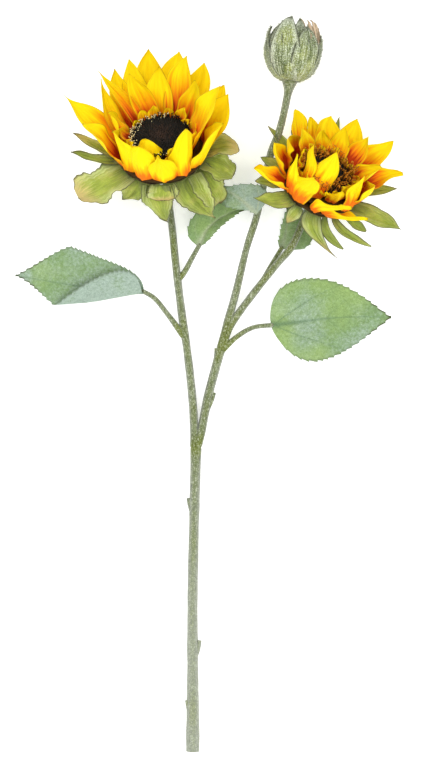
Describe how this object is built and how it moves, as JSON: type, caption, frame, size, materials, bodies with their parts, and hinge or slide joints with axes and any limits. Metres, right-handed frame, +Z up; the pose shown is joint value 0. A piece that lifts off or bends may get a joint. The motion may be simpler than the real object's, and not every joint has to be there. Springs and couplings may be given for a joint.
{
  "type": "artificial sunflower spray",
  "caption": "Cut artificial sunflower spray lying flat: a forked stem with open blooms, a closed bud and toothed leaves on curved stalks.",
  "frame": {"origin": "centre of the underside of the box that holds the whole spray, on the surface it lies on", "axes": "+Y runs along the stem from its cut end to the bud, +X to the right across the spray, +Z up from the surface it lies on"},
  "size_m": [0.3154, 0.598, 0.0836],
  "materials": {
    "stem": "sage green moulding dusted with pale flock",
    "leaf": "flocked sage green cloth with a frosted bloom",
    "petal": "printed cloth, yellow with orange-red at the base",
    "inner_petal": "printed cloth, deep yellow with orange-red at the base",
    "floret": "short golden cloth florets",
    "disc": "near-black seed disc with a brown middle",
    "sepal": "yellow-green cloth with tan and orange tips",
    "bud": "fuzzy grey-green bracts"
  },
  "bodies": {
    "root": {"bud": "bud", "bud_stem": "stem", "inner_leaf": "leaf", "inner_leaf_stalk": "stem", "left_bloom_cup": "stem", "left_bloom_disc": "disc", "left_bloom_florets": "floret", "left_bloom_inner_petals": "inner_petal", "left_bloom_outer_petals": "petal", "left_bloom_sepals": "sepal", "left_leaf": "leaf", "left_leaf_stalk": "stem", "left_stem": "stem", "low_leaf": "leaf", "low_leaf_stalk": "stem", "main_stem": "stem", "right_bloom_cup": "stem", "right_bloom_disc": "disc", "right_bloom_florets": "floret", "right_bloom_inner_petals": "inner_petal", "right_bloom_outer_petals": "petal", "right_bloom_sepals": "sepal", "right_bloom_stem": "stem", "right_leaf": "leaf", "right_leaf_stalk": "stem", "right_stem": "stem", "upper_leaf": "leaf"}
  },
  "joints": []
}
